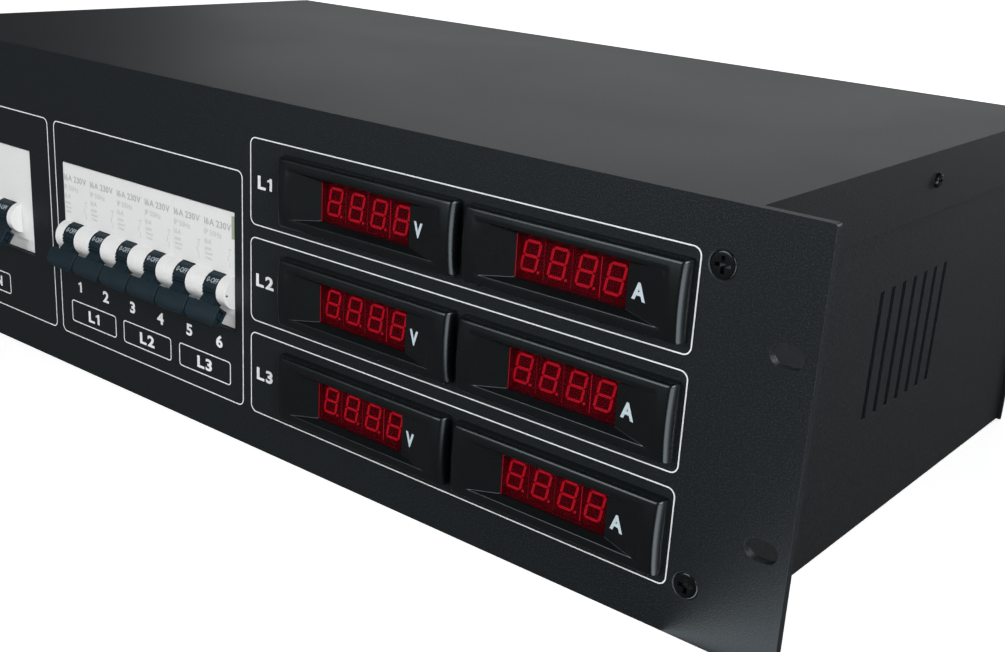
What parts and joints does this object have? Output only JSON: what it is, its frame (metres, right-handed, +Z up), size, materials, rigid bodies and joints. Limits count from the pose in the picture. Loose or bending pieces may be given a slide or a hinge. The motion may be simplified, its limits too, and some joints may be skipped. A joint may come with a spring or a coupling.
{
  "type": "power distribution box",
  "caption": "Three-unit rack power distribution box with breakers, panel meters, a round inlet and earthed outlets with hinged lids.",
  "frame": {"origin": "centre of the chassis tray's underside", "axes": "+X to the right seen from the front, +Y towards the rear, +Z up"},
  "size_m": [0.4826, 0.3121, 0.1325],
  "materials": {
    "powder_coat": "fine-textured matt black powder coat",
    "black_screw": "satin black zinc plating",
    "breaker_plastic": "satin off-white moulding",
    "lever_plastic": "satin dark slate moulding",
    "button_plastic": "satin amber moulding",
    "zinc_plated_steel": "bright zinc plate",
    "busbar_insulation": "satin grey moulding",
    "meter_plastic": "satin black moulding",
    "red_filter": "clear red filter",
    "display_board": "digit modules on a circuit board",
    "socket_plastic": "satin dark blue moulding",
    "inlet_plastic": "satin red moulding",
    "insert_plastic": "grey contact carrier with metal pins",
    "transformer_plastic": "matt blue casting",
    "lead_insulation": "flexible insulation"
  },
  "bodies": {
    "housing": {"front_panel": "powder_coat", "chassis_tray": "powder_coat", "top_cover": "powder_coat", "rear_panel": "powder_coat", "panel_screw_1": "black_screw", "panel_screw_2": "black_screw", "panel_screw_3": "black_screw", "panel_screw_4": "black_screw", "breaker_1_case": "breaker_plastic", "breaker_2_case": "breaker_plastic", "breaker_3_case": "breaker_plastic", "breaker_4_case": "breaker_plastic", "breaker_5_case": "breaker_plastic", "breaker_6_case": "breaker_plastic", "rcd_case": "breaker_plastic", "din_rail": "zinc_plated_steel", "phase_busbar": "busbar_insulation", "meter_l1_volt_case": "meter_plastic", "meter_l1_amp_case": "meter_plastic", "meter_l2_volt_case": "meter_plastic", "meter_l2_amp_case": "meter_plastic", "meter_l3_volt_case": "meter_plastic", "meter_l3_amp_case": "meter_plastic", "meter_l1_volt_window": "red_filter", "meter_l1_amp_window": "red_filter", "meter_l2_volt_window": "red_filter", "meter_l2_amp_window": "red_filter", "meter_l3_volt_window": "red_filter", "meter_l3_amp_window": "red_filter", "meter_l1_volt_display": "display_board", "meter_l1_amp_display": "display_board", "meter_l2_volt_display": "display_board", "meter_l2_amp_display": "display_board", "meter_l3_volt_display": "display_board", "meter_l3_amp_display": "display_board", "socket_1_body": "socket_plastic", "socket_2_body": "socket_plastic", "socket_3_body": "socket_plastic", "socket_4_body": "socket_plastic", "socket_5_body": "socket_plastic", "socket_6_body": "socket_plastic", "inlet_body": "inlet_plastic", "inlet_insert": "insert_plastic", "current_transformers": "transformer_plastic", "wiring_loom": "lead_insulation"},
    "breaker_1_lever": {"breaker_1_lever": "lever_plastic"},
    "breaker_2_lever": {"breaker_2_lever": "lever_plastic"},
    "breaker_3_lever": {"breaker_3_lever": "lever_plastic"},
    "breaker_4_lever": {"breaker_4_lever": "lever_plastic"},
    "breaker_5_lever": {"breaker_5_lever": "lever_plastic"},
    "breaker_6_lever": {"breaker_6_lever": "lever_plastic"},
    "rcd_lever": {"rcd_lever": "lever_plastic"},
    "rcd_test_button": {"rcd_test_button": "button_plastic"},
    "socket_1_lid": {"socket_1_lid": "socket_plastic"},
    "socket_2_lid": {"socket_2_lid": "socket_plastic"},
    "socket_3_lid": {"socket_3_lid": "socket_plastic"},
    "socket_4_lid": {"socket_4_lid": "socket_plastic"},
    "socket_5_lid": {"socket_5_lid": "socket_plastic"},
    "socket_6_lid": {"socket_6_lid": "socket_plastic"},
    "inlet_lid": {"inlet_lid": "inlet_plastic"}
  },
  "joints": [
    {"name": "breaker_1_toggle", "type": "hinge", "parent": "housing", "child": "breaker_1_lever", "pos_m": [-0.0859, -0.1235, 0.05805], "axis": [-1, 0, 0], "range_deg": [0, 90]},
    {"name": "breaker_2_toggle", "type": "hinge", "parent": "housing", "child": "breaker_2_lever", "pos_m": [-0.0681, -0.1235, 0.05805], "axis": [-1, 0, 0], "range_deg": [0, 90]},
    {"name": "breaker_3_toggle", "type": "hinge", "parent": "housing", "child": "breaker_3_lever", "pos_m": [-0.0503, -0.1235, 0.05805], "axis": [-1, 0, 0], "range_deg": [0, 90]},
    {"name": "breaker_4_toggle", "type": "hinge", "parent": "housing", "child": "breaker_4_lever", "pos_m": [-0.0325, -0.1235, 0.05805], "axis": [-1, 0, 0], "range_deg": [0, 90]},
    {"name": "breaker_5_toggle", "type": "hinge", "parent": "housing", "child": "breaker_5_lever", "pos_m": [-0.0147, -0.1235, 0.05805], "axis": [-1, 0, 0], "range_deg": [0, 90]},
    {"name": "breaker_6_toggle", "type": "hinge", "parent": "housing", "child": "breaker_6_lever", "pos_m": [0.0031, -0.1235, 0.05805], "axis": [-1, 0, 0], "range_deg": [0, 90]},
    {"name": "rcd_toggle", "type": "hinge", "parent": "housing", "child": "rcd_lever", "pos_m": [-0.13615, -0.1235, 0.05805], "axis": [-1, 0, 0], "range_deg": [0, 90]},
    {"name": "rcd_test_press", "type": "slide", "parent": "housing", "child": "rcd_test_button", "axis": [0, 1, 0], "range_m": [0, 0.0012], "stiffness_N_per_m": 600, "springref_m": -0.0005},
    {"name": "socket_1_lid_hinge", "type": "hinge", "parent": "housing", "child": "socket_1_lid", "pos_m": [-0.045, 0.1365, 0.12025], "axis": [1, 0, 0], "range_deg": [0, 100], "stiffness_Nm_per_rad": 0.02, "springref_deg": -17.19},
    {"name": "socket_2_lid_hinge", "type": "hinge", "parent": "housing", "child": "socket_2_lid", "pos_m": [-0.045, 0.1365, 0.06325], "axis": [1, 0, 0], "range_deg": [0, 100], "stiffness_Nm_per_rad": 0.02, "springref_deg": -17.19},
    {"name": "socket_3_lid_hinge", "type": "hinge", "parent": "housing", "child": "socket_3_lid", "pos_m": [0.05, 0.1365, 0.12025], "axis": [1, 0, 0], "range_deg": [0, 100], "stiffness_Nm_per_rad": 0.02, "springref_deg": -17.19},
    {"name": "socket_4_lid_hinge", "type": "hinge", "parent": "housing", "child": "socket_4_lid", "pos_m": [0.05, 0.1365, 0.06325], "axis": [1, 0, 0], "range_deg": [0, 100], "stiffness_Nm_per_rad": 0.02, "springref_deg": -17.19},
    {"name": "socket_5_lid_hinge", "type": "hinge", "parent": "housing", "child": "socket_5_lid", "pos_m": [0.145, 0.1365, 0.12025], "axis": [1, 0, 0], "range_deg": [0, 100], "stiffness_Nm_per_rad": 0.02, "springref_deg": -17.19},
    {"name": "socket_6_lid_hinge", "type": "hinge", "parent": "housing", "child": "socket_6_lid", "pos_m": [0.145, 0.1365, 0.06325], "axis": [1, 0, 0], "range_deg": [0, 100], "stiffness_Nm_per_rad": 0.02, "springref_deg": -17.19},
    {"name": "inlet_lid_hinge", "type": "hinge", "parent": "housing", "child": "inlet_lid", "pos_m": [-0.155, 0.1745, 0.10275], "axis": [1, 0, 0], "range_deg": [0, 100], "stiffness_Nm_per_rad": 0.05, "springref_deg": -17.19}
  ]
}
